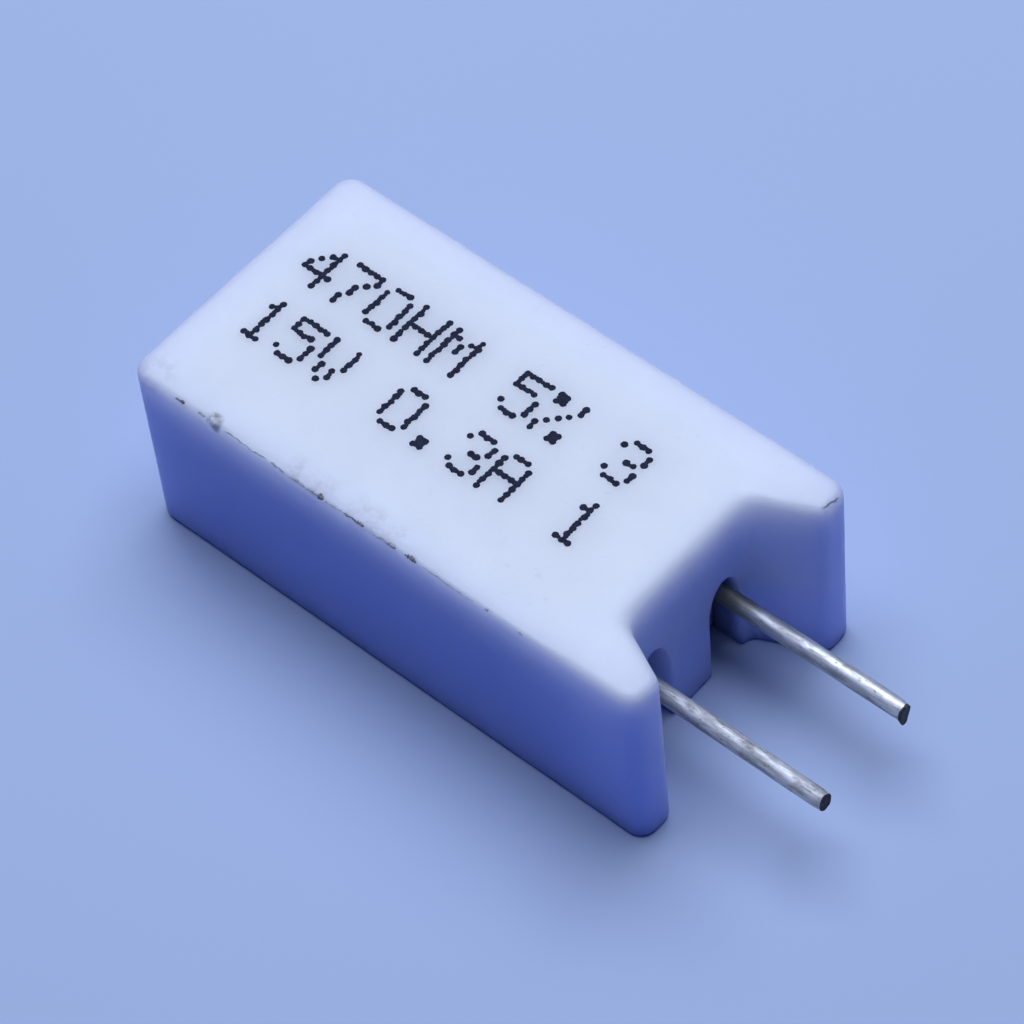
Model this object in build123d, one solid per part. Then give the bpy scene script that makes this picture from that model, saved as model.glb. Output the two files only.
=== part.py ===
from build123d import *
import os

# Vertical-mount wire-wound power resistor in a cement-filled ceramic case, in millimetres.
# X runs along the case towards the leads, Y across it and Z up through the printed face.
# The origin is the middle of the case's open back, in the plane of the rim that it lies on.

# Ceramic case, outside
case_length = 25.95
case_width = 13.0
case_height = 9.4
rear_corner_radius = 0.9
top_edge_radius = 0.45
back_edge_radius = 0.2

# Leads, and the arched slots that let them out through the front wall
lead_diameter = 0.8
lead_pitch = 5.0
lead_height = 3.8
lead_length_past_feet = 5.8
return_lead_shortfall = 0.1
lead_bend_radius = 1.3
slot_inner_clearance = 0.9
slot_outer_clearance = 0.1
slot_top_clearance = 1.2
slot_arch_height = 2.05

# Notch between the two stand-off feet, its floor a little wider than the two slots take up
notch_depth = 2.85
notch_floor_margin = 0.475
foot_tip_width = 1.7
notch_corner_radius = 0.5
foot_outer_radius = 0.8
foot_inner_radius = 0.55

# Trough inside the case
side_wall = 1.5
rear_wall = 1.5
front_wall = 1.6
roof_wall = 1.6
trough_corner_radius = 1.0
trough_roof_chamfer = 0.6
trough_draft_angle = 1.5

# Cement filling, set back from the case's rim and from the notch
cement_back_recess = 0.3
cement_slot_recess = 1.4

# Wound element, with its cover of cement towards the trough's walls
element_side_cover = 0.34
element_front_cover = 1.4
return_lead_rear_cover = 0.55
return_lead_weld_length = 2.2
rod_diameter = 3.8
rod_chamfer = 0.2
cap_wall = 0.25
cap_depth = 2.6
cap_chamfer = 0.2
ribbon_width = 0.25
ribbon_thickness = 0.055
ribbon_pitch = 1.15
press_clearance = 0.01
cement_clearance = 0.01

# Every cut runs past the solid that it cuts by this much
overrun = 1.0

# Places and sizes that follow from those above
front_x = case_length / 2
rear_x = -case_length / 2
notch_floor_x = front_x - notch_depth
notch_mouth_width = case_width - foot_tip_width * 2
trough_front_x = notch_floor_x - front_wall
trough_rear_x = rear_x + rear_wall
trough_width = case_width - side_wall * 2
trough_height = case_height - roof_wall
straight_lead_y = -lead_pitch / 2
return_lead_y = lead_pitch / 2
slot_width = lead_diameter + slot_inner_clearance + slot_outer_clearance
slot_pitch = lead_pitch + slot_outer_clearance - slot_inner_clearance
slot_arch_z = lead_height + lead_diameter / 2 + slot_top_clearance - slot_arch_height
notch_floor_width = slot_pitch + slot_width + notch_floor_margin * 2
plug_front_x = notch_floor_x - cement_slot_recess
return_lead_back_x = trough_rear_x + return_lead_rear_cover + lead_diameter / 2
cap_rear_x = return_lead_back_x + lead_diameter / 2 + press_clearance
cap_front_x = trough_front_x - element_front_cover
rod_radius = rod_diameter / 2
cap_inner_radius = rod_radius + press_clearance
cap_outer_radius = cap_inner_radius + cap_wall
element_y = cap_outer_radius + element_side_cover - trough_width / 2
rod_rear_x = cap_rear_x + cap_wall
rod_length = cap_front_x - cap_wall - rod_rear_x
winding_rear_x = cap_rear_x + cap_depth
winding_length = cap_front_x - cap_depth - winding_rear_x
winding_radius = rod_radius + press_clearance + ribbon_thickness / 2
winding_outer_radius = winding_radius + ribbon_thickness / 2


def case_outline():
    """Plan of the case: a rounded block with a tapered notch between two feet at the front."""
    half_width = case_width / 2
    half_floor = notch_floor_width / 2
    half_mouth = notch_mouth_width / 2
    corners = [
        (rear_x, -half_width),
        (front_x, -half_width),
        (front_x, -half_mouth),
        (notch_floor_x, -half_floor),
        (notch_floor_x, half_floor),
        (front_x, half_mouth),
        (front_x, half_width),
        (rear_x, half_width),
    ]
    radii = [
        rear_corner_radius,
        foot_outer_radius,
        foot_inner_radius,
        notch_corner_radius,
        notch_corner_radius,
        foot_inner_radius,
        foot_outer_radius,
        rear_corner_radius,
    ]
    return make_face(FilletPolyline(*corners, radius=radii, close=True))


def trough():
    """Space inside the case, open at the back, drafted and bevelled where the walls meet the roof."""
    length = trough_front_x - trough_rear_x
    middle_x = (trough_front_x + trough_rear_x) / 2
    plan = RectangleRounded(length, trough_width, trough_corner_radius)
    block = extrude(Pos(middle_x, 0, 0) * plan, trough_height, taper=trough_draft_angle)
    return chamfer(block.edges().group_by(Axis.Z)[-1], trough_roof_chamfer)


def slot_profile(below):
    """Arched opening round a lead, seen along X, reaching down past the back by the given length."""
    arch = Pos(0, slot_arch_z) * Ellipse(slot_width / 2, slot_arch_height)
    leg_height = slot_arch_z + below
    leg = Pos(0, slot_arch_z - leg_height / 2) * Rectangle(slot_width, leg_height)
    return arch + leg


def slot_prism(y, start_x, end_x, below):
    """Arched prism along X through the front wall, centred at y."""
    plane = Plane(origin=(start_x, y, 0), x_dir=(0, 1, 0), z_dir=(1, 0, 0))
    return extrude(plane * slot_profile(below), end_x - start_x)


def ceramic_case():
    """Moulded case: outer block with eased edges, less the trough and the two lead slots."""
    block = extrude(case_outline(), case_height)
    block = fillet(block.edges().group_by(Axis.Z)[-1], top_edge_radius)
    block = fillet(block.edges().group_by(Axis.Z)[0], back_edge_radius)
    case = block - trough()
    for y in (-slot_pitch / 2, slot_pitch / 2):
        case -= slot_prism(y, trough_front_x - overrun, notch_floor_x + overrun, overrun)
    return case


def lead_wire(inner_run, y, free_length):
    """Round wire from its free end in to the plane of the feet, then along the inner run."""
    free_end = Line((front_x + free_length, y, lead_height), (front_x, y, lead_height))
    path = Wire([free_end, *inner_run.edges()])
    end = Plane(origin=path @ 0, z_dir=path % 0)
    return sweep(end * Circle(lead_diameter / 2), path=path, clean=False)


def lead_straight():
    """Lead welded end on to the front cap."""
    inner_run = Line(
        (front_x, straight_lead_y, lead_height),
        (cap_front_x, straight_lead_y, lead_height),
    )
    return lead_wire(inner_run, straight_lead_y, lead_length_past_feet)


def lead_return():
    """Lead beside the first one, bent behind the element and welded flat across the rear cap."""
    weld_end_y = element_y - return_lead_weld_length / 2
    inner_run = FilletPolyline(
        (front_x, return_lead_y, lead_height),
        (return_lead_back_x, return_lead_y, lead_height),
        (return_lead_back_x, weld_end_y, lead_height),
        radius=lead_bend_radius,
    )
    return lead_wire(inner_run, return_lead_y, lead_length_past_feet - return_lead_shortfall)


def along_element(x):
    """Plane across the element at x, facing the leads."""
    return Plane(origin=(x, element_y, lead_height), x_dir=(0, 1, 0), z_dir=(1, 0, 0))


def core_rod():
    """Ceramic rod with bevelled ends."""
    rod = extrude(along_element(rod_rear_x) * Circle(rod_radius), rod_length)
    return chamfer(rod.edges().filter_by(GeomType.CIRCLE), rod_chamfer)


def cap_blank(face_x, inwards):
    """Outside of a cap as a solid; inwards is the way from its face to the rod's middle."""
    blank = extrude(along_element(face_x) * Circle(cap_outer_radius), cap_depth * inwards)
    rims = blank.edges().filter_by(GeomType.CIRCLE).sort_by(Axis.X)
    return chamfer(rims[-1] if inwards < 0 else rims[0], cap_chamfer)


def end_cap(face_x, inwards):
    """Pressed cup over one end of the rod."""
    bore = along_element(face_x + cap_wall * inwards) * Circle(cap_inner_radius)
    return cap_blank(face_x, inwards) - extrude(bore, (cap_depth + overrun) * inwards)


def resistance_winding():
    """One helix of flat resistance wire from cap to cap."""
    helix = Helix(
        pitch=ribbon_pitch,
        height=winding_length - ribbon_width,
        radius=winding_radius,
        center=(winding_rear_x + ribbon_width / 2, element_y, lead_height),
        direction=(1, 0, 0),
    )
    start = helix @ 0
    outwards = start - Vector(start.X, element_y, lead_height)
    section = Plane(origin=start, x_dir=outwards, z_dir=helix % 0)
    return sweep(section * Rectangle(ribbon_thickness, ribbon_width), path=helix, is_frenet=True)


def cement_filling(leads):
    """Cement set round the element: the trough and slots, less what is buried in them."""
    filling = trough()
    for y in (-slot_pitch / 2, slot_pitch / 2):
        filling += slot_prism(y, trough_front_x - overrun, plug_front_x, 0)
    back = Plane((0, 0, cement_back_recess))
    filling = split(filling, bisect_by=back, keep=Keep.TOP)
    bed = along_element(winding_rear_x) * Circle(winding_outer_radius + cement_clearance)
    filling -= extrude(bed, winding_length)
    for buried in (*leads, cap_blank(cap_front_x, -1), cap_blank(cap_rear_x, 1)):
        filling -= buried
    return filling


def build():
    """Every node by name."""
    leads = [lead_straight(), lead_return()]
    return {
        "ceramic_case": ceramic_case(),
        "cement_filling": cement_filling(leads),
        "core_rod": core_rod(),
        "resistance_winding": resistance_winding(),
        "end_cap_front": end_cap(cap_front_x, -1),
        "end_cap_rear": end_cap(cap_rear_x, 1),
        "lead_straight": leads[0],
        "lead_return": leads[1],
    }


os.makedirs("parts", exist_ok=True)
for name, shape in build().items():
    export_step(shape, f"parts/{name}.step")
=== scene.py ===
import math

import bmesh
import bpy
import numpy as np
from mathutils import Matrix, Vector


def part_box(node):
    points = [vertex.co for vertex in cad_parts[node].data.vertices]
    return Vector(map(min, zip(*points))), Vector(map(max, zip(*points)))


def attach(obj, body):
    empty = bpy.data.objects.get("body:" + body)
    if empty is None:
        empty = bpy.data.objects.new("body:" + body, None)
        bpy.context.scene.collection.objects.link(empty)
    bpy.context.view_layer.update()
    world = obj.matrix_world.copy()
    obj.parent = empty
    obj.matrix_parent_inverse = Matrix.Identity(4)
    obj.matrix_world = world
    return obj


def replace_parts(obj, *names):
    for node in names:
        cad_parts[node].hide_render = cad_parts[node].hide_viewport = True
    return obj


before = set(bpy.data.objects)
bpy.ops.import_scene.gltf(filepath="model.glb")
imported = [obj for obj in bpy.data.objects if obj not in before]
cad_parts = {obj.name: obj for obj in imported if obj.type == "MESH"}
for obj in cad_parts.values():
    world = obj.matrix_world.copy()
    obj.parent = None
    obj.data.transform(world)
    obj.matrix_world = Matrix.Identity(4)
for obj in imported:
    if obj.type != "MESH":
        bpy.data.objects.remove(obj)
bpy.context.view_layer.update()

# Lengths below are in millimetres unless a name says otherwise, in the frame's own axes.
# Colours are linear. A finish's tones run from the first to the second, and a pair of places or
# distances says where a mask or a form starts and where it is full.
MM = 0.001
BODY = "root"
tiny = 1e-12

# Seed of all randomness, and what each uneven thing adds to it for draws of its own
seed = 11
mould_draw = 1
print_draw = 2
cement_draw = 3
sway_draw = 20
flash_draw = 40
tip_crack_draw = 80
crumb_draw = 90

# Uneven fields: waves of each length, and what their sum is divided by for each length
waves_each = 3
wave_spread = 1.5

# Case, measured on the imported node
case_low, case_high = (np.array(corner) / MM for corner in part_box("ceramic_case"))
rear_x, near_y, _ = case_low
front_x, far_y, top_z = case_high
edge_radius = 0.45
box_margin = 0.004
weld_distance = 0.0005
case_voxel = 0.08
case_triangles = 150000
relax_rounds = 4
relax_share = 0.6
mould_dip = 0.022
mould_waviness = 0.012
mould_wave_lengths = (9.0, 7.0, 5.5, 4.0, 3.1)

# Edges of the notch and the feet, pressed softer than the rest
notch_depth = 2.85
notch_floor_x = front_x - notch_depth
notch_half_width = 3.475
soft_rounds = 100
soft_share = 0.85
soft_depth = 3.2
soft_heights = (top_z - soft_depth, top_z - soft_depth / 3)
soft_widths = (notch_half_width + 0.9, notch_half_width - 0.6)
soft_reach = (2.4, 0.7)
soft_fullness = 0.14
foot_softness = 0.12
foot_soft_places = (notch_floor_x - 1.0, front_x - 1.2)

# Parting line along the near edge, where the edge is sharper than elsewhere
crisp_radius = 0.18
crisp_rear = (-8.0, -7.2)
crisp_front = (10.5, 6.5)

# Crumb of cement smeared on the near edge: its middle, half size, height and roughness
crumb_place = (-8.42, near_y + 0.30, top_z - 0.09)
crumb_half_size = (0.50, 0.40, 0.36)
crumb_rise = (1, 0.2)
crumb_height = 0.11
crumb_roughness = 0.55
crumb_rough_lengths = (0.55, 0.4, 0.3)

# Small lumps on the far edge: place, reach and height, each drawn out along the edge
edge_lumps = (
    ((-6.85, far_y - 0.2, top_z - 0.2), 0.30, 0.05),
    ((-3.1, far_y - 0.2, top_z - 0.2), 0.25, 0.03),
    ((4.4, far_y - 0.2, top_z - 0.2), 0.35, 0.03),
)
lump_stretch = (0.6, 1, 1)

# Ragged flash left along the near edge: start, end, width and height of each stretch
flash_stretches = (
    (-10.45, -9.95, 0.11, 0.05),
    (-9.25, -8.85, 0.09, 0.04),
    (-7.75, -5.45, 0.05, 0.03),
    (-5.30, -4.55, 0.08, 0.04),
    (-4.20, -2.55, 0.08, 0.05),
    (-2.80, -2.50, 0.15, 0.08),
    (-2.40, -1.50, 0.06, 0.03),
    (-1.50, -0.40, 0.12, 0.06),
    (0.10, 1.25, 0.07, 0.04),
    (0.70, 1.20, 0.10, 0.05),
    (1.65, 2.30, 0.11, 0.06),
    (2.60, 5.20, 0.04, 0.02),
    (5.70, 5.90, 0.08, 0.03),
    (7.35, 7.60, 0.07, 0.03),
)
flash_step = 0.035
flash_sides = 8
flash_dark_width = 0.105
flash_angle_rear = math.radians(36)
flash_angle_front = math.radians(56)
flash_sway = 0.07
flash_sway_lengths = (1.9, 0.8, 0.35)
flash_sink_share = 0.35

# How flash is torn: a sine that rises fast at both ends, times a smoothed random height
flash_end_turn = 0.05
flash_end_rise = 2.2
flash_tear = 0.42
flash_tear_steps = 5
flash_tear_spread = 2.2
flash_tear_mean = 0.85
flash_tear_limits = (0.3, 1.5)
flash_raggedness = 0.18

# Cracked flash across the top of the far foot's tip: points along it
tip_crack = (
    (12.67, 4.98, 9.23),
    (12.73, 5.20, 9.21),
    (12.72, 5.38, 9.22),
    (12.79, 5.60, 9.17),
    (12.78, 5.80, 9.16),
)
tip_crack_width = 0.05
tip_crack_height = 0.018
tip_crack_steps = 40
tip_crack_jitter = 0.012
tip_crack_up = (0.5, 0.0, 0.86)

# Cement
cement_voxel = 0.12
cement_triangles = 60000
cement_grain = 0.05
cement_grain_lengths = (1.7, 1.1, 0.8, 0.55, 0.42, 0.33)

# Leads: name, node, droop, slant of the cut, lip drawn down by the cutters, rim painted dark with the end's
# shade, and draw
lead_pieces = (
    ("lead_straight_wire", "lead_straight", 0.06, -0.1, 0.02, 0.0, 6),
    ("lead_return_wire", "lead_return", 0.0, 0.12, 0.45, 0.16, 7),
)
lead_sides = 40
lead_step = 0.07
lead_hidden_step = 0.45
lead_bend_radius = 1.3
lead_bend_steps = 14
lead_weld_steps = 10
lead_exposed_from = front_x - 4.2
lead_fade_length = 0.4
lead_unevenness = 0.008
lead_uneven_lengths = (2.9, 1.7, 1.1, 0.7, 0.45)
lead_cut_draw = 2
lead_cut_length = 0.45
lead_cut_pinch = 0.10
lead_cut_lip_per_pinch = 3
lead_cut_raggedness = 0.02
lead_cut_ragged_lengths = (0.5, 0.3)
lead_cut_facing = 0.5

# Printed rating: five by seven dots a character
dot_pitch_x = 0.305
dot_pitch_y = 0.325
dot_radius = 0.156
dot_bridge_share = 0.72
dot_height = 0.012
dot_sides = 16
dot_profile = ((1.0, 0.0), (0.84, 0.62), (0.5, 0.93))
dot_sink_share = 0.15
dot_jitter = 0.018
dot_swell = 0.06
dot_raggedness = 0.05
cell_pitch = 1.76
print_rows = (
    ("47OHM 5%", -10.88, 2.98),
    ("3", 4.90, 2.98),
    ("15V", -10.82, -0.36),
    ("0.3A", -3.60, -0.36),
    ("1", 5.30, -0.30),
)
GLYPHS = {
    "0": (" ### ", "#   #", "#   #", "#   #", "#   #", "#   #", " ### "),
    "1": ("  #  ", " ##  ", "  #  ", "  #  ", "  #  ", "  #  ", " ### "),
    "3": (" ### ", "#   #", "    #", "  ## ", "    #", "#   #", " ### "),
    "4": ("   # ", "  ## ", " # # ", "#  # ", "#####", "   # ", "   # "),
    "5": ("#####", "#    ", "#### ", "    #", "    #", "#   #", " ### "),
    "7": ("#####", "    #", "   # ", "  #  ", "  #  ", " #   ", " #   "),
    "O": (" ### ", "#   #", "#   #", "#   #", "#   #", "#   #", " ### "),
    "H": ("#   #", "#   #", "#   #", "#####", "#   #", "#   #", "#   #"),
    "M": ("#   #", "## ##", "# # #", "# # #", "#   #", "#   #", "#   #"),
    "A": (" ### ", "#   #", "#   #", "#####", "#   #", "#   #", "#   #"),
    "V": ("#   #", "#   #", "#   #", "#   #", " # # ", " # # ", "  #  "),
    "%": ("##  #", "##  #", "   # ", "  #  ", " #   ", "#  ##", "#  ##"),
    ".": ("     ", "     ", "     ", "     ", "     ", " ##  ", " ##  "),
}

# Ceramic, and the marks on it: each with its place, colour and strength
ceramic_tones = ((0.80, 0.826, 0.905), (0.827, 0.85, 0.92))
ceramic_roughness = (0.42, 0.52)
ceramic_ior = 1.5
ceramic_scatter_weight = 0.9
ceramic_scatter_radius = (1.0, 0.97, 0.94)
ceramic_scatter_depth = 4.0
ceramic_grain_depth = 0.004
ceramic_pore_depth = 0.008
soil_line = (0, near_y + 0.35, top_z - 0.05)
soil_reach = (1.0, 0.25)
soil_heights = (top_z - 0.3, top_z - 0.1)
rear_soil_ends = ((-5.0, -3.9), (-2.1, -3.1))
front_soil_ends = ((-2.0, -0.9), (1.6, 0.5))
soil_colour = (0.42, 0.41, 0.39)
soil_strength = 0.75
corner_smudge_place = (rear_x + 1.05, near_y + 0.55, top_z - 0.1)
corner_smudge_reach = (1.3, 0.2)
corner_smudge_colour = (0.42, 0.42, 0.43)
corner_smudge_strength = 0.34
speck_place = (6.4, -4.1, top_z)
speck_reach = (2.2, 0.8)
speck_colour = (0.40, 0.41, 0.45)
speck_strength = 0.14
crumb_fade = (1.0, 0.45)
crumb_tones = ((0.24, 0.24, 0.225), (0.62, 0.61, 0.57))
# Painted shadow under the crumb, on the rounding of the near edge
crumb_shadow_place = (-8.22, near_y + 0.10, top_z - 0.20)
crumb_shadow_reach = (0.30, 0.08)
crumb_shadow_colour = (0.10, 0.10, 0.12)
crumb_shadow_strength = 0.7

# Grime and painted shade inside the lead slots, less of both in the near one
near_to_far = (-0.5, 0.5)
slot_top_z = 5.4
slot_end_x = notch_floor_x - 1.6
slot_grime_shade_mouth = (notch_floor_x - 0.1, notch_floor_x - 0.7)
slot_grime_shade_end = (slot_end_x - 0.3, slot_end_x)
slot_grime_shade_sides = (notch_half_width + 0.4, notch_half_width)
slot_grime_shade_top = (slot_top_z + 0.5, slot_top_z + 0.1)
slot_grime_shade_foot = (0.1, 0.3)
slot_grime_shade_near_share = 0.15
slot_grime_shade_colour = (0.12, 0.13, 0.20)
slot_grime_shade_strength = 0.6
# Painted shade on the cement at the back of the slots
cement_slot_shade_colour = (0.12, 0.12, 0.12)
cement_slot_shade_strength = 0.7

# Flash and cement
flash_dark_tones = ((0.10, 0.10, 0.115), (0.28, 0.28, 0.30))
flash_grey_tones = ((0.30, 0.305, 0.33), (0.54, 0.55, 0.58))
flash_roughness = 0.85
flash_bump_depth = 0.02
cement_tones = ((0.52, 0.50, 0.46), (0.68, 0.66, 0.61))
cement_speck_colour = (0.30, 0.28, 0.25)
cement_roughness = 0.93
cement_bump_depth = 0.05

# Tin plate, its marks and its stain near the cement, and the sheared ends, painted near black as shade
tin_tones = ((0.35, 0.34, 0.32), (0.64, 0.63, 0.61))
tin_blotch_colour = (0.22, 0.215, 0.20)
tin_blotch_strength = 0.45
tin_speck_colour = (0.12, 0.12, 0.115)
tin_speck_strength = 0.6
tin_stain_places = (front_x - 0.9, notch_floor_x + 0.1)
tin_stain_near_share = 0.25
tin_stain_colour = (0.17, 0.16, 0.10)
tin_stain_strength = 0.8
tin_roughness = (0.58, 0.51)
tin_mark_roughness = 0.12
tin_near_roughness = 0.12
tin_scratch_depth = 0.006
tin_dent_depth = 0.02
# Painted shade on the sheared ends, near black
cut_shade_tones = ((0.012, 0.013, 0.018), (0.07, 0.062, 0.058))
cut_metallic = 0.3
cut_roughness = 0.7
cut_bump_depth = 0.02

# Ink, and the pieces inside the case
ink_tones = ((0.006, 0.008, 0.024), (0.020, 0.025, 0.058))
ink_roughness = (0.55, 0.75)
ink_specular = 0.15
rod_tones = ((0.70, 0.68, 0.63), (0.82, 0.80, 0.76))
winding_tones = ((0.36, 0.34, 0.31), (0.55, 0.53, 0.50))
cap_tones = ((0.50, 0.50, 0.50), (0.68, 0.68, 0.68))
hidden_bump_depth = 0.01

# Camera, at the photo's angle, with the picture's middle on the optical axis
camera_place = (76.657, -72.252, 145.339)
camera_forward = (-0.43129, 0.41204, -0.80263)
camera_right = (0.75314, 0.65425, -0.06882)
camera_lens = 157.03
camera_sensor = 36.0

# Light and floor
floor_size = 3000.0
camera_reach = 10 * floor_size
floor_seen = ((0.42, 0.51, 0.72), (0.44, 0.53, 0.74))
floor_bounce = (0.012, 0.085, 0.69)
floor_patches_per_mm = 0.02
floor_roughness = 0.8
floor_lit_radius = 60.0
floor_far_radius = 420.0
backdrop_colour = (0.34, 0.44, 0.74)
key_place = (-40.0, 55.0, 265.0)
key_size = 230.0
key_power_w = 0.91
key_colour = (0.73, 0.81, 1.0)
surround_colour = (0.34, 0.56, 0.95)
surround_strength = 0.05


def even_surface(node, voxel):
    """Even quads over a CAD node's surface: points in millimetres, and faces."""
    build = bmesh.new()
    build.from_mesh(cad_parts[node].data)
    bmesh.ops.scale(build, vec=(1 / MM, 1 / MM, 1 / MM), verts=build.verts)
    bmesh.ops.remove_doubles(build, verts=build.verts, dist=weld_distance)
    mesh = bpy.data.meshes.new("even_source")
    build.to_mesh(mesh)
    build.free()
    source = bpy.data.objects.new("even_source", mesh)
    bpy.context.scene.collection.objects.link(source)
    remesh = source.modifiers.new("even", "REMESH")
    remesh.mode = "VOXEL"
    remesh.voxel_size = voxel
    even = evaluated_mesh(source)
    points = np.empty(len(even.vertices) * 3)
    even.vertices.foreach_get("co", points)
    corners = np.empty(len(even.loops), dtype=np.int64)
    even.loops.foreach_get("vertex_index", corners)
    bpy.data.objects.remove(source)
    bpy.data.meshes.remove(even)
    return points.reshape(-1, 3), corners.reshape(-1, 4)


def evaluated_mesh(obj):
    """A new mesh with the object's modifiers applied."""
    graph = bpy.context.evaluated_depsgraph_get()
    return bpy.data.meshes.new_from_object(obj.evaluated_get(graph))


def quad_edges(quads):
    """Each edge of the quads once, as pairs of points."""
    pairs = np.concatenate([quads[:, [k, (k + 1) % 4]] for k in range(4)])
    return np.unique(np.sort(pairs, axis=1), axis=0)


def smoothed(points, edges, weights, rounds):
    """Points drawn towards the mean of their neighbours, by their weights."""
    used, ends = np.unique(edges[(weights[edges] > 0).any(axis=1)], return_inverse=True)
    a, b = ends.reshape(-1, 2).T
    size, share, part = len(used), weights[used][:, None], points[used]
    neighbours = (np.bincount(a, minlength=size) + np.bincount(b, minlength=size))[:, None]
    for _ in range(rounds):
        total = np.stack(
            [np.bincount(a, part[b, k], size) + np.bincount(b, part[a, k], size) for k in range(3)], 1
        )
        part = part + share * (total / neighbours - part)
    points = points.copy()
    points[used] = part
    return points


def quad_normals(points, quads):
    """Outward unit normal at each point."""
    across = points[quads[:, 2]] - points[quads[:, 0]]
    along = points[quads[:, 3]] - points[quads[:, 1]]
    faces = np.cross(across, along)
    total = np.zeros_like(points)
    for k in range(3):
        for corner in range(4):
            total[:, k] += np.bincount(quads[:, corner], faces[:, k], len(points))
    return total / np.maximum(np.linalg.norm(total, axis=1, keepdims=True), tiny)


def waves(points, lengths, draw):
    """Smooth uneven field, about -1 to 1: plane waves of the given lengths in seeded directions."""
    source = np.random.default_rng(seed + draw)
    total = np.zeros(len(points))
    for length in lengths:
        for _ in range(waves_each):
            way = source.normal(size=3)
            way /= np.linalg.norm(way)
            total += np.sin(points @ way * (math.tau / length) + source.uniform(0, math.tau))
    return total / (wave_spread * len(lengths))


def ease(value, start, full):
    """0 at start, 1 at full, smooth between."""
    share = np.clip((value - start) / (full - start), 0, 1)
    return share * share * (3 - 2 * share)


def new_object(name, points, faces):
    """A smooth-shaded object from points in millimetres."""
    mesh = bpy.data.meshes.new(name)
    mesh.from_pydata((np.asarray(points) * MM).tolist(), [], [list(map(int, f)) for f in faces])
    mesh.update()
    mesh.shade_smooth()
    obj = bpy.data.objects.new(name, mesh)
    bpy.context.scene.collection.objects.link(obj)
    return obj


def boxed(points):
    """Points kept inside the case's own box."""
    return np.clip(points, case_low + box_margin, case_high - box_margin)


def thinned(obj, triangles):
    """The object with its flat stretches thinned out to about that many triangles."""
    count = sum(len(p.vertices) - 2 for p in obj.data.polygons)
    thin = obj.modifiers.new("thin", "DECIMATE")
    thin.ratio = triangles / count
    mesh = evaluated_mesh(obj)
    obj.modifiers.clear()
    old = obj.data
    obj.data = mesh
    mesh.name = obj.name
    bpy.data.meshes.remove(old)
    mesh.shade_smooth()
    return obj


def joined(name, objs):
    """One object from several, which keeps their materials."""
    with bpy.context.temp_override(active_object=objs[0], selected_editable_objects=objs):
        bpy.ops.object.join()
    objs[0].name = objs[0].data.name = name
    return objs[0]


def mould_depth(points):
    """How far the pressed surface lies inside the nominal one."""
    return mould_dip + mould_waviness * waves(points, mould_wave_lengths, mould_draw)


def at_notch_edge(points):
    """1 at the notch floor's top edge, falling to 0 round it."""
    x, y, z = points.T
    between_feet = ease(np.abs(y), *soft_widths)
    return ease(z, *soft_heights) * between_feet * ease(np.abs(x - notch_floor_x), *soft_reach)


def softness(points):
    """How freely each point is eased: most at the notch floor's top edge, less on the feet."""
    x, _, z = points.T
    feet = ease(z, *soft_heights) * ease(x, *foot_soft_places)
    return soft_share * np.maximum(at_notch_edge(points), foot_softness * feet)


def crisped(points):
    """Points with the near edge's rounding filled out to a sharper one along the parting line."""
    u = near_y + edge_radius - points[:, 1]
    v = points[:, 2] - top_z + edge_radius
    away = np.hypot(u, v)
    inside = (u > 0) & (v > 0) & (away > edge_radius / 2)
    way_u = np.where(inside, u / np.maximum(away, tiny), 1)
    way_v = np.where(inside, v / np.maximum(away, tiny), 1)
    middle = edge_radius - crisp_radius
    reach = (way_u + way_v) * middle
    arc = reach + np.sqrt(np.maximum(reach**2 - 2 * middle**2 + crisp_radius**2, 0))
    flat = edge_radius / np.maximum(way_u, way_v)
    on_flat = np.minimum(way_u, way_v) * flat < middle
    wanted = np.where(on_flat, flat, arc)
    along = ease(points[:, 0], *crisp_rear) * ease(points[:, 0], *crisp_front)
    grow = np.where(inside, along * (wanted - edge_radius), 0)
    points = points.copy()
    points[:, 1] -= way_u * grow
    points[:, 2] += way_v * grow
    return points


def build_case():
    """Pressed case: softer edges at the notch, lumps and a crumb, and a slightly wavy skin."""
    points, quads = even_surface("ceramic_case", case_voxel)
    edges = quad_edges(quads)
    points = smoothed(points, edges, np.full(len(points), relax_share), relax_rounds)
    points = crisped(points)
    points[:, 0] += soft_fullness * at_notch_edge(points)
    points = smoothed(points, edges, softness(points), soft_rounds)
    out = quad_normals(points, quads)
    for place, reach, height in edge_lumps:
        lump = ease(np.linalg.norm((points - np.array(place)) * lump_stretch, axis=1), reach, 0)
        points = points + out * (height * lump)[:, None]
    from_crumb = np.linalg.norm((points - np.array(crumb_place)) / np.array(crumb_half_size), axis=1)
    rough = 1 + crumb_roughness * waves(points, crumb_rough_lengths, crumb_draw)
    points = points + out * (crumb_height * ease(from_crumb, *crumb_rise) * rough)[:, None]
    points = boxed(points - out * mould_depth(points)[:, None])
    return thinned(new_object("ceramic_case_shell", points, quads), case_triangles)


def tube(centres, frames, rings):
    """Closed tube: one ring of (across, up) offsets at each centre, with both ends closed by fans."""
    points = []
    sides = len(rings[0])
    for centre, (across, up), ring in zip(centres, frames, rings):
        points += [centre + a * across + b * up for a, b in ring]
    faces = []
    for i in range(len(centres) - 1):
        for k in range(sides):
            n = (k + 1) % sides
            faces.append((i * sides + k, i * sides + n, (i + 1) * sides + n, (i + 1) * sides + k))
    last = (len(centres) - 1) * sides
    points += [np.mean(points[:sides], axis=0), np.mean(points[last : last + sides], axis=0)]
    for k in range(sides):
        n = (k + 1) % sides
        faces.append((n, k, len(points) - 2))
        faces.append((last + k, last + n, len(points) - 1))
    return points, faces


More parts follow.
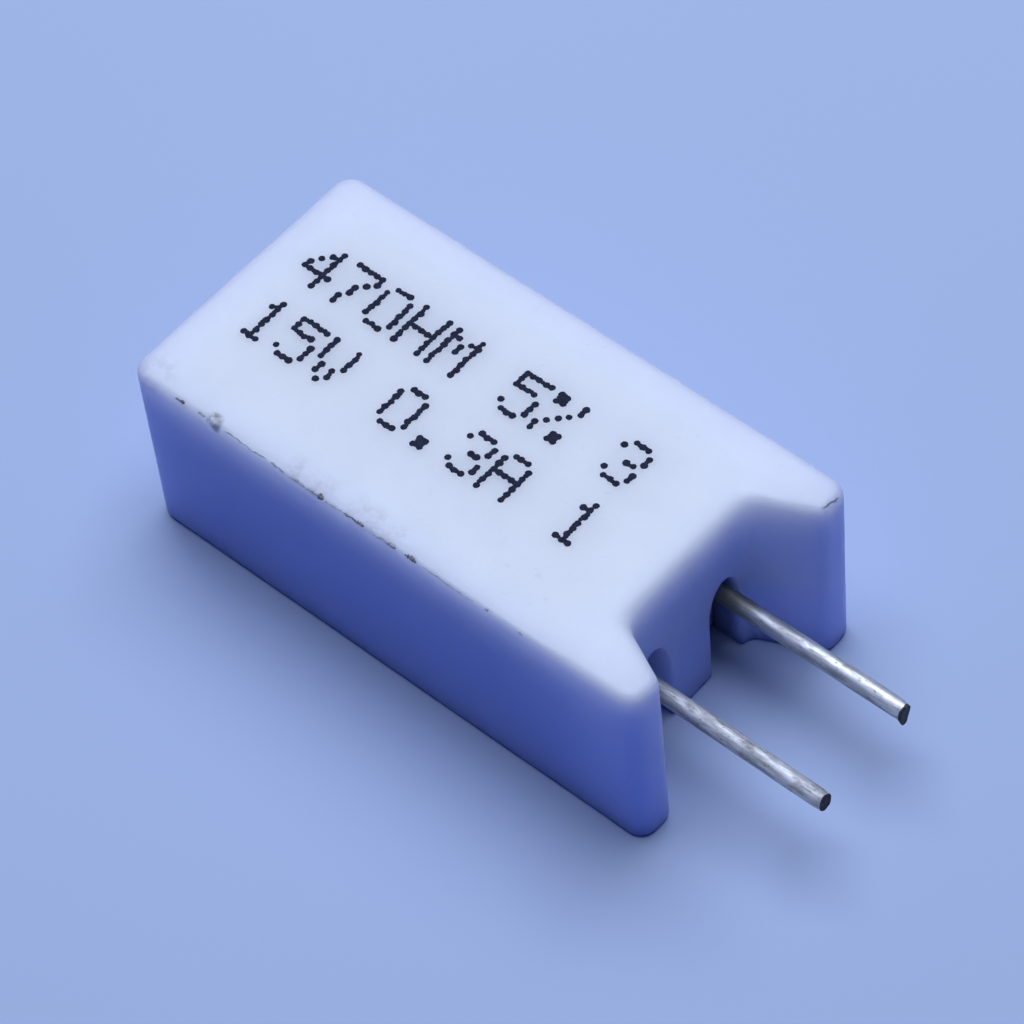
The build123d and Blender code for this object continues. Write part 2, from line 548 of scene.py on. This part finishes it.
def ragged_ridge(name, centres, ups, width, height, draw):
    """A torn, uneven ridge along the centres, sunk a little into the surface under it."""
    source = np.random.default_rng(seed + draw)
    count = len(centres)
    ends = np.linspace(flash_end_turn, math.pi - flash_end_turn, count)
    rise = np.sqrt(np.clip(np.sin(ends) * flash_end_rise, 0, 1))
    heights = source.normal(size=count + flash_tear_steps - 1)
    tear = np.convolve(heights, np.ones(flash_tear_steps) / flash_tear_spread, "valid")
    strength = flash_tear * min(1, width / flash_dark_width)
    torn = np.clip(flash_tear_mean + strength * tear, *flash_tear_limits)
    turns = np.linspace(0, math.tau, flash_sides, endpoint=False)
    frames, rings = [], []
    for i in range(count):
        along = centres[min(i + 1, count - 1)] - centres[max(i - 1, 0)]
        across = np.cross(ups[i], along)
        across /= np.linalg.norm(across)
        frames.append((across, ups[i]))
        rough = 1 + flash_raggedness * source.normal(size=flash_sides)
        half = width / 2 * rise[i] * torn[i]
        tall = height * rise[i] * torn[i]
        ring = zip(rough * np.cos(turns), rough * np.sin(turns))
        rings.append([(half * a, tall * (b - flash_sink_share)) for a, b in ring])
    points, faces = tube(centres, frames, rings)
    return new_object(name, boxed(points), faces)


def build_flash(dark, grey):
    """Every stretch of flash on the near edge, and the cracked one on the far foot."""
    made = []
    for i, (start, end, width, height) in enumerate(flash_stretches):
        xs = np.arange(start, end, flash_step)
        share = (xs - rear_x) / (front_x - rear_x)
        line = np.stack([xs, xs * 0, xs * 0], 1)
        sway = flash_sway * waves(line, flash_sway_lengths, sway_draw + i)
        angle = flash_angle_rear + (flash_angle_front - flash_angle_rear) * share + sway
        ups = np.stack([xs * 0, -np.sin(angle), np.cos(angle)], 1)
        middle_y = np.full_like(xs, near_y + edge_radius)
        middle_z = np.full_like(xs, top_z - edge_radius)
        on_edge = crisped(np.stack([xs, middle_y, middle_z], 1) + ups * edge_radius)
        centres = on_edge - ups * mould_dip
        made.append(ragged_ridge(f"flash_{i}", centres, ups, width, height, flash_draw + i))
        made[-1].data.materials.append(dark if width > flash_dark_width else grey)
    corners = np.array(tip_crack)
    steps = np.linspace(0, len(corners) - 1, tip_crack_steps)
    crack = np.stack([np.interp(steps, range(len(corners)), corners[:, k]) for k in range(3)], 1)
    crack += tip_crack_jitter * np.random.default_rng(seed).normal(size=crack.shape)
    ups = [np.array(tip_crack_up)] * len(crack)
    made.append(ragged_ridge("flash_tip", crack, ups, tip_crack_width, tip_crack_height, tip_crack_draw))
    made[-1].data.materials.append(grey)
    return made


def build_cement():
    """Cement, with a sandy surface sunk a little below the nominal one."""
    points, quads = even_surface("cement_filling", cement_voxel)
    points = smoothed(points, quad_edges(quads), np.full(len(points), relax_share), relax_rounds)
    grain = 0.5 + 0.5 * waves(points, cement_grain_lengths, cement_draw)
    points = points - quad_normals(points, quads) * (cement_grain * grain)[:, None]
    return thinned(new_object("cement_surface", points, quads), cement_triangles)


def lead_path(node):
    """Middle line of a lead from its free end inwards: straight, or round one bend to its weld."""
    low, high = (np.array(corner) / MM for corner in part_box(node))
    radius = (high[2] - low[2]) / 2
    z = (high[2] + low[2]) / 2
    bent = high[1] - low[1] > 3 * radius
    y = high[1] - radius if bent else (high[1] + low[1]) / 2
    end_x = low[0] + radius + lead_bend_radius if bent else low[0]
    hidden_steps = int((lead_exposed_from - end_x) / lead_hidden_step) + 2
    shown = np.arange(high[0], lead_exposed_from, -lead_step)
    hidden = np.linspace(lead_exposed_from, end_x, hidden_steps)
    path = [(x, y, z) for x in (*shown, *hidden)]
    if bent:
        centre_y = y - lead_bend_radius
        turns = np.linspace(0, math.pi / 2, lead_bend_steps)[1:]
        bend_x = end_x - lead_bend_radius * np.sin(turns)
        bend_y = centre_y + lead_bend_radius * np.cos(turns)
        path += [(x, s, z) for x, s in zip(bend_x, bend_y)]
        path += [(low[0] + radius, s, z) for s in np.linspace(centre_y, low[1], lead_weld_steps)[1:]]
    return np.array(path), radius


def build_lead(name, node, droop, cut_slant, lip, draw):
    """A lead with drawn and handled unevenness and an end squeezed and sheared by side cutters."""
    path, radius = lead_path(node)
    up = np.array([0.0, 0.0, 1.0])
    turns = np.linspace(0, math.tau, lead_sides, endpoint=False)
    ring = [(radius * math.cos(t), radius * math.sin(t)) for t in turns]
    frames = []
    for i in range(len(path)):
        along = path[min(i + 1, len(path) - 1)] - path[max(i - 1, 0)]
        across = np.cross(up, along)
        frames.append((across / np.linalg.norm(across), up))
    points, faces = tube(path, frames, [ring] * len(path))
    points = np.array(points)
    tip_x, middle_y, middle_z = path[0]
    shown = ease(points[:, 0], lead_exposed_from, lead_exposed_from + lead_fade_length)
    from_axis = (points - path[0]) * (0, 1, 1)
    uneven = lead_unevenness * (0.5 + 0.5 * waves(points, lead_uneven_lengths, draw))
    points -= from_axis / radius * (uneven * shown)[:, None]
    near_cut = ease(points[:, 0], tip_x - lead_cut_length, tip_x)
    y, z = points[:, 1] - middle_y, points[:, 2] - middle_z
    points[:, 1] -= (lead_cut_pinch + lip / lead_cut_lip_per_pinch) * near_cut * y
    points[:, 0] -= near_cut * (abs(cut_slant) * radius - cut_slant * z)
    ragged = 1 + waves(points, lead_cut_ragged_lengths, draw + lead_cut_draw)
    points[:, 0] -= near_cut * lead_cut_raggedness * ragged
    points[:, 2] -= lip * near_cut**2 * np.clip(-z / radius, 0, 1)
    points[:, 2] -= droop * ease(points[:, 0], notch_floor_x, tip_x)
    return new_object(name, points, faces)


def glyph_dots(character):
    """Dots of a character as (column, row, size), with a smaller one between neighbours, where ink runs."""
    lines = GLYPHS.get(character, ())
    marks = {(c, r) for r, line in enumerate(lines) for c, mark in enumerate(line) if mark == "#"}
    for c, r in sorted(marks):
        yield c, r, 1.0
        if (c + 1, r) in marks:
            yield c + 0.5, r, dot_bridge_share
        if (c, r + 1) in marks:
            yield c, r + 0.5, dot_bridge_share
        if {(c + 1, r), (c, r + 1), (c + 1, r + 1)} <= marks:
            yield c + 0.5, r + 0.5, 1.0


def dome(x, y, radius, first, source):
    """Points and faces of one low, slightly uneven ink dot on the case's top."""
    base = top_z - mould_depth(np.array([[x, y, top_z]]))[0] - dot_height * dot_sink_share
    turns = np.linspace(0, math.tau, dot_sides, endpoint=False)
    points, faces = [], []
    for share, lift in dot_profile:
        z = base + dot_height * lift
        reach = radius * share * (1 + dot_raggedness * source.normal(size=dot_sides))
        points += [(x + q * math.cos(t), y + q * math.sin(t), z) for t, q in zip(turns, reach)]
    top_point = first + len(points)
    base_point = top_point + 1
    points += [(x, y, base + dot_height), (x, y, base)]
    for ring in range(len(dot_profile) - 1):
        low = first + ring * dot_sides
        for k in range(dot_sides):
            n = (k + 1) % dot_sides
            faces.append((low + k, low + n, low + dot_sides + n, low + dot_sides + k))
    crown = first + (len(dot_profile) - 1) * dot_sides
    faces += [(crown + k, crown + (k + 1) % dot_sides, top_point) for k in range(dot_sides)]
    faces += [(first + (k + 1) % dot_sides, first + k, base_point) for k in range(dot_sides)]
    return points, faces


def build_print():
    """Ink dots of the printed rating, low domes on the case's top."""
    source = np.random.default_rng(seed + print_draw)
    points, faces = [], []
    for text, left, top in print_rows:
        for cell, character in enumerate(text):
            for column, row, size in glyph_dots(character):
                dx, dy, swell = source.normal(size=3)
                x = left + cell * cell_pitch + column * dot_pitch_x + dx * dot_jitter
                y = top - row * dot_pitch_y + dy * dot_jitter
                radius = dot_radius * size * (1 + dot_swell * swell)
                more_points, more_faces = dome(x, y, radius, len(points), source)
                points += more_points
                faces += more_faces
    return new_object("rating_print", points, faces)


class Nodes:
    """Short hand for building one material's nodes."""

    def __init__(self, name):
        self.material = bpy.data.materials.new(name)
        self.material.use_nodes = True
        self.tree = self.material.node_tree
        self.shader = self.tree.nodes["Principled BSDF"]
        place = self.tree.nodes.new("ShaderNodeTexCoord").outputs["Object"]
        self.place = self.vector("SCALE", place, scale=1 / MM)

    def link(self, value, socket):
        """Sets a socket to a value, or links it to an output."""
        if isinstance(value, bpy.types.NodeSocket):
            self.tree.links.new(value, socket)
        elif value is not None:
            socket.default_value = value

    def vector(self, operation, a, b=None, scale=None):
        """Vector arithmetic; a length or a distance comes out as a number."""
        node = self.tree.nodes.new("ShaderNodeVectorMath")
        node.operation = operation
        self.link(a, node.inputs[0])
        self.link(b, node.inputs[1])
        if scale is not None:
            node.inputs["Scale"].default_value = scale
        return node.outputs["Value" if operation in ("LENGTH", "DISTANCE") else "Vector"]

    def math(self, operation, a, b=None):
        """Arithmetic on one or two numbers."""
        node = self.tree.nodes.new("ShaderNodeMath")
        node.operation = operation
        self.link(a, node.inputs[0])
        self.link(b, node.inputs[1])
        return node.outputs[0]

    def product(self, first, *others):
        """Numbers multiplied together."""
        for other in others:
            first = self.math("MULTIPLY", first, other)
        return first

    def axis(self, name):
        """Place along X, Y or Z, in millimetres."""
        node = self.tree.nodes.new("ShaderNodeSeparateXYZ")
        self.link(self.place, node.inputs[0])
        return node.outputs[name]

    def noise(self, per_mm, detail=2.0, rough=0.5, stretch=None):
        """Noise of about that many features a millimetre."""
        place = self.place if stretch is None else self.vector("MULTIPLY", self.place, stretch)
        node = self.tree.nodes.new("ShaderNodeTexNoise")
        self.link(place, node.inputs["Vector"])
        node.inputs["Scale"].default_value = per_mm
        node.inputs["Detail"].default_value = detail
        node.inputs["Roughness"].default_value = rough
        return node.outputs["Fac"]

    def span(self, value, low, high, to_low=0.0, to_high=1.0):
        """Value from low..high to another span, smooth and clamped."""
        node = self.tree.nodes.new("ShaderNodeMapRange")
        node.interpolation_type = "SMOOTHSTEP"
        for socket, number in zip(node.inputs[:5], (value, low, high, to_low, to_high)):
            self.link(number, socket)
        return node.outputs["Result"]

    def patches(self, low, high, to_low=0.0, to_high=1.0, **noise):
        """Noise cut into patches: to_low where the noise is under low, to_high where it is over high."""
        return self.span(self.noise(**noise), low, high, to_low, to_high)

    def mix(self, share, a, b):
        """Colour a where share is 0, b where it is 1."""
        node = self.tree.nodes.new("ShaderNodeMix")
        node.data_type = "RGBA"
        colour_a, colour_b = (socket for socket in node.inputs if socket.type == "RGBA")
        self.link(share, node.inputs["Factor"])
        self.link((*a, 1) if isinstance(a, tuple) else a, colour_a)
        self.link((*b, 1) if isinstance(b, tuple) else b, colour_b)
        return next(socket for socket in node.outputs if socket.type == "RGBA")

    def cover(self, under, mask, strength, colour):
        """Colour laid over another by a mask, at the given strength."""
        return self.mix(self.math("MULTIPLY", mask, strength), under, colour)

    def bump(self, height, depth_mm, normal=None):
        """Surface normal bent by a height, over another normal if there is one."""
        node = self.tree.nodes.new("ShaderNodeBump")
        node.inputs["Distance"].default_value = depth_mm * MM
        self.link(height, node.inputs["Height"])
        self.link(normal, node.inputs["Normal"])
        return node.outputs["Normal"]

    def set(self, **sockets):
        """Sets the shader's sockets by name, with _ for a space."""
        for name, value in sockets.items():
            self.link(value, self.shader.inputs[name.replace("_", " ")])
        return self.material


def near(n, point, start, full):
    """Mask round a point: 0 beyond start, 1 within full, in millimetres."""
    return n.span(n.vector("DISTANCE", n.place, point), start, full)


def slot_grime_and_shade(n):
    """Mask of the walls inside the lead slots, grimy with cement and painted with shade, most of all in the
    far one.
    """
    x, y, z = n.axis("X"), n.axis("Y"), n.axis("Z")
    depth = n.product(n.span(x, *slot_grime_shade_mouth), n.span(x, *slot_grime_shade_end))
    across = n.span(n.math("ABSOLUTE", y), *slot_grime_shade_sides)
    height = n.product(n.span(z, *slot_grime_shade_top), n.span(z, *slot_grime_shade_foot))
    far_more = n.span(y, *near_to_far, slot_grime_shade_near_share, 1.0)
    return n.product(depth, far_more, across, height)


def crumb_mask(n):
    """Soft-edged patch over the crumb, broken up by its grain."""
    apart = n.vector("SUBTRACT", n.place, crumb_place)
    away = n.vector("LENGTH", n.vector("DIVIDE", apart, crumb_half_size))
    grain = n.patches(per_mm=4.0, detail=3.0, low=0.30, high=0.55, to_low=0.45, to_high=0.95)
    return n.product(n.span(away, *crumb_fade), grain)


def crumb_colour(n):
    """Grey cement with pale grains."""
    grains = n.patches(per_mm=4.5, detail=3.0, rough=0.6, low=0.42, high=0.66)
    return n.mix(grains, *crumb_tones)


def edge_soil(n):
    """Mask of two soiled stretches along the near edge, cloudy and finely broken up."""
    x, z = n.axis("X"), n.axis("Z")
    flat = n.vector("MULTIPLY", n.place, (0, 1, 1))
    from_edge = n.vector("LENGTH", n.vector("SUBTRACT", flat, soil_line))
    rear = n.product(*(n.span(x, *end) for end in rear_soil_ends))
    front = n.product(*(n.span(x, *end) for end in front_soil_ends))
    along = n.math("MAXIMUM", rear, front)
    on_top = n.span(z, *soil_heights)
    clouds = n.patches(per_mm=1.1, detail=3.0, rough=0.55, low=0.36, high=0.62, to_low=0.25)
    fine = n.patches(per_mm=5.0, detail=3.0, low=0.30, high=0.72, to_low=0.45)
    return n.product(n.span(from_edge, *soil_reach), clouds, along, on_top, fine)


def ceramic():
    """White unglazed ceramic, slightly translucent, soiled along the near edge and the rear corner, with
    grime and painted shade in the slots and a painted shadow under the crumb.
    """
    n = Nodes("case_ceramic")
    colour = n.mix(n.patches(per_mm=0.12, low=0.35, high=0.65), *ceramic_tones)
    smears = n.patches(per_mm=1.8, detail=4.0, low=0.40, high=0.62)
    smudge = n.product(near(n, corner_smudge_place, *corner_smudge_reach), smears)
    dots = n.patches(per_mm=2.6, detail=3.0, rough=0.55, low=0.62, high=0.72)
    specks = n.product(near(n, speck_place, *speck_reach), dots)
    colour = n.cover(colour, smudge, corner_smudge_strength, corner_smudge_colour)
    colour = n.cover(colour, edge_soil(n), soil_strength, soil_colour)
    colour = n.cover(colour, specks, speck_strength, speck_colour)
    colour = n.mix(crumb_mask(n), colour, crumb_colour(n))
    # Painted shadow under the crumb
    crumb_shadow_mask = near(n, crumb_shadow_place, *crumb_shadow_reach)
    colour = n.cover(colour, crumb_shadow_mask, crumb_shadow_strength, crumb_shadow_colour)
    # Grime and painted shade on the walls inside the slots
    colour = n.cover(colour, slot_grime_and_shade(n), slot_grime_shade_strength, slot_grime_shade_colour)
    grain = n.bump(n.noise(per_mm=8.0, detail=3.0, rough=0.55), ceramic_grain_depth)
    pores = n.patches(per_mm=3.0, detail=1.0, low=0.24, high=0.32)
    shine = n.span(n.noise(per_mm=0.8, detail=3.0), 0.3, 0.7, *ceramic_roughness)
    return n.set(
        Base_Color=colour,
        Roughness=shine,
        IOR=ceramic_ior,
        Subsurface_Weight=ceramic_scatter_weight,
        Subsurface_Radius=ceramic_scatter_radius,
        Subsurface_Scale=ceramic_scatter_depth * MM,
        Normal=n.bump(pores, ceramic_pore_depth, grain),
    )


def soiled_flash(name, tones):
    """Torn flash, grey to dark with dirt."""
    n = Nodes(name)
    colour = n.mix(n.patches(per_mm=5.0, detail=3.0, low=0.35, high=0.7), *tones)
    rough = n.bump(n.noise(per_mm=16.0, detail=3.0), flash_bump_depth)
    return n.set(Base_Color=colour, Roughness=flash_roughness, Normal=rough)


def cement():
    """Matte sandy cement, with painted shade inside the slots."""
    n = Nodes("cement")
    colour = n.mix(n.patches(per_mm=1.3, detail=5.0, rough=0.6, low=0.3, high=0.7), *cement_tones)
    specks = n.patches(per_mm=6.5, detail=3.0, low=0.62, high=0.72)
    colour = n.mix(specks, colour, cement_speck_colour)
    # Painted shade on the cement inside the slots
    colour = n.cover(colour, slot_grime_and_shade(n), cement_slot_shade_strength, cement_slot_shade_colour)
    sand = n.bump(n.noise(per_mm=7.5, detail=5.0, rough=0.7), cement_bump_depth)
    return n.set(Base_Color=colour, Roughness=cement_roughness, Normal=sand)


def tinned():
    """Dull tin plate: streaks along the wire, dark specks, stained where it leaves the cement."""
    n = Nodes("tinned_copper")
    x, y = n.axis("X"), n.axis("Y")
    streaks = n.noise(per_mm=5.0, detail=4.0, rough=0.6, stretch=(0.16, 1, 1))
    colour = n.mix(n.span(streaks, 0.32, 0.68), *tin_tones)
    blotches = n.patches(per_mm=2.6, detail=5.0, rough=0.65, stretch=(0.5, 1, 1), low=0.52, high=0.66)
    specks = n.patches(per_mm=6.5, detail=4.0, rough=0.7, stretch=(0.6, 1, 1), low=0.60, high=0.70)
    colour = n.cover(colour, blotches, tin_blotch_strength, tin_blotch_colour)
    colour = n.cover(colour, specks, tin_speck_strength, tin_speck_colour)
    cloudy = n.patches(per_mm=1.4, detail=3.0, low=0.2, high=0.6, to_low=0.6)
    far_more = n.span(y, *near_to_far, tin_stain_near_share, 1.0)
    stain = n.product(n.span(x, *tin_stain_places), cloudy, far_more)
    colour = n.cover(colour, stain, tin_stain_strength, tin_stain_colour)
    marks = n.math("MULTIPLY", n.math("MAXIMUM", specks, blotches), tin_mark_roughness)
    rough = n.math("ADD", n.span(streaks, 0.3, 0.7, *tin_roughness), marks)
    rough = n.math("ADD", rough, n.span(y, *near_to_far, tin_near_roughness, 0.0))
    drawn = n.noise(per_mm=14.0, detail=3.0, rough=0.6, stretch=(0.06, 1, 1))
    scratches = n.bump(drawn, tin_scratch_depth)
    dents = n.bump(n.noise(per_mm=2.0, detail=4.0, rough=0.6), tin_dent_depth, scratches)
    return n.set(Base_Color=colour, Metallic=1.0, Roughness=rough, Normal=dents)


def shaded_cut_copper():
    """Sheared end of a lead, painted near black as shade."""
    n = Nodes("cut_end_painted_shade")
    colour = n.mix(n.patches(per_mm=6.0, detail=3.0, low=0.4, high=0.7), *cut_shade_tones)
    torn = n.bump(n.noise(per_mm=12.0), cut_bump_depth)
    return n.set(Base_Color=colour, Metallic=cut_metallic, Roughness=cut_roughness, Normal=torn)


def ink():
    """Navy-black marking ink, thin in places."""
    n = Nodes("ink")
    colour = n.mix(n.patches(per_mm=3.0, detail=4.0, low=0.45, high=0.8), *ink_tones)
    rough = n.span(n.noise(per_mm=6.0), 0.3, 0.7, *ink_roughness)
    return n.set(Base_Color=colour, Roughness=rough, Specular_IOR_Level=ink_specular)


def hidden_piece(name, tones, metallic, roughness, stretch):
    """Finish of a piece inside the case: two tones in streaks, with a fine bump."""
    n = Nodes(name)
    streaks = n.noise(per_mm=3.0, detail=4.0, rough=0.6, stretch=stretch)
    colour = n.mix(n.span(streaks, 0.3, 0.7), *tones)
    fine = n.bump(streaks, hidden_bump_depth)
    return n.set(Base_Color=colour, Metallic=metallic, Roughness=roughness, Normal=fine)


def dress(obj, slot, *materials):
    """Gives a piece its materials and its body; slot is not used."""
    obj.data.materials.clear()
    for material in materials:
        obj.data.materials.append(material)
    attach(obj, BODY)
    return obj


def mark_cut(lead, rim):
    """Puts the lead's second material, the painted shade of the cut, on its sheared end and on a rim of the
    given length.
    """
    tip_x = max(v.co.x for v in lead.data.vertices)
    for face in lead.data.polygons:
        sheared = face.normal.x > lead_cut_facing and face.center.x > tip_x - lead_cut_length * MM
        face.material_index = int(sheared or face.center.x > tip_x - rim * MM)
        face.use_smooth = not sheared


def build_object():
    """Every piece that shows, with its finish, and the finishes of those inside."""
    case = build_case()
    case.data.materials.clear()
    case.data.materials.append(ceramic())
    dark = soiled_flash("case_flash_dark", flash_dark_tones)
    grey = soiled_flash("case_flash_grey", flash_grey_tones)
    case = joined("ceramic_case_shell", [case, *build_flash(dark, grey)])
    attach(case, BODY)
    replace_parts(case, "ceramic_case")
    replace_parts(dress(build_cement(), "cement", cement()), "cement_filling")
    # cut: material of the sheared ends, painted near black as shade
    tin, cut = tinned(), shaded_cut_copper()
    for name, node, droop, slant, lip, rim, draw in lead_pieces:
        lead = build_lead(name, node, droop, slant, lip, draw)
        dress(lead, "tinned_copper", tin, cut)
        mark_cut(lead, rim)
        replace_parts(lead, node)
    dress(build_print(), "case_ceramic", ink())
    rod = hidden_piece("core_ceramic", rod_tones, metallic=0.0, roughness=0.7, stretch=(1, 1, 1))
    wire = hidden_piece("resistance_wire", winding_tones, metallic=1.0, roughness=0.4, stretch=(8, 1, 1))
    cap = hidden_piece("cap_steel", cap_tones, metallic=1.0, roughness=0.35, stretch=(0.3, 4, 4))
    inner = {"core_rod": rod, "resistance_winding": wire, "end_cap_front": cap, "end_cap_rear": cap}
    for node, material in inner.items():
        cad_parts[node].data.materials.clear()
        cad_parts[node].data.materials.append(material)


def seen_directly(tree):
    """1 for rays from the camera, or mirrored or let through on the way, and 0 for scattered light."""
    rays = tree.nodes.new("ShaderNodeLightPath").outputs
    share = rays["Is Camera Ray"]
    for name in ("Is Glossy Ray", "Is Transmission Ray"):
        larger = tree.nodes.new("ShaderNodeMath")
        larger.operation = "MAXIMUM"
        tree.links.new(share, larger.inputs[0])
        tree.links.new(rays[name], larger.inputs[1])
        share = larger.outputs[0]
    return share


def build_floor():
    """Plain floor, pale where it is seen or mirrored, and a deeper blue in the light that it throws back."""
    half = floor_size / 2
    corners = [(-half, -half, 0), (half, -half, 0), (half, half, 0), (-half, half, 0)]
    floor = new_object("floor", corners, [(0, 1, 2, 3)])
    n = Nodes("floor")
    seen = seen_directly(n.tree)
    far = n.span(n.vector("LENGTH", n.place), floor_lit_radius, floor_far_radius)
    pale = n.mix(far, n.mix(n.noise(per_mm=floor_patches_per_mm), *floor_seen), (0, 0, 0))
    floor.data.materials.append(
        n.set(
            Base_Color=n.mix(seen, floor_bounce, pale),
            Roughness=floor_roughness,
            Emission_Color=(*backdrop_colour, 1),
            Emission_Strength=n.math("MULTIPLY", seen, far),
        )
    )


def area_lamp(name, place, size, power_w, colour):
    """Square soft box aimed at the object's middle."""
    lamp = bpy.data.lights.new(name, "AREA")
    lamp.size = size * MM
    lamp.energy = power_w
    lamp.color = colour
    obj = bpy.data.objects.new(name, lamp)
    bpy.context.scene.collection.objects.link(obj)
    obj.location = Vector(place) * MM
    aim = Vector((0, 0, top_z / 2)) - Vector(place)
    obj.rotation_euler = aim.to_track_quat("-Z", "Y").to_euler()


def build_light():
    """One large soft box overhead, a dim surround, and a pale backdrop where it is seen or mirrored."""
    area_lamp("key", key_place, key_size, key_power_w, key_colour)
    world = bpy.data.worlds.new("surround")
    bpy.context.scene.world = world
    world.use_nodes = True
    tree = world.node_tree
    surround = tree.nodes["Background"]
    surround.inputs["Color"].default_value = (*surround_colour, 1)
    surround.inputs["Strength"].default_value = surround_strength
    backdrop = tree.nodes.new("ShaderNodeBackground")
    backdrop.inputs["Color"].default_value = (*backdrop_colour, 1)
    choice = tree.nodes.new("ShaderNodeMixShader")
    tree.links.new(seen_directly(tree), choice.inputs[0])
    tree.links.new(surround.outputs[0], choice.inputs[1])
    tree.links.new(backdrop.outputs[0], choice.inputs[2])
    tree.links.new(choice.outputs[0], tree.nodes["World Output"].inputs["Surface"])


def build_camera():
    """Camera at the photo's angle."""
    data = bpy.data.cameras.new("camera")
    data.lens = camera_lens
    data.sensor_width = camera_sensor
    data.clip_start = MM
    data.clip_end = camera_reach * MM
    camera = bpy.data.objects.new("camera", data)
    bpy.context.scene.collection.objects.link(camera)
    back = -Vector(camera_forward).normalized()
    right = Vector(camera_right)
    right = (right - back * right.dot(back)).normalized()
    turn = Matrix((right, back.cross(right), back)).transposed()
    camera.matrix_world = Matrix.Translation(Vector(camera_place) * MM) @ turn.to_4x4()
    bpy.context.scene.camera = camera


build_object()
build_floor()
build_light()
build_camera()
bpy.context.scene.view_settings.view_transform = "Standard"
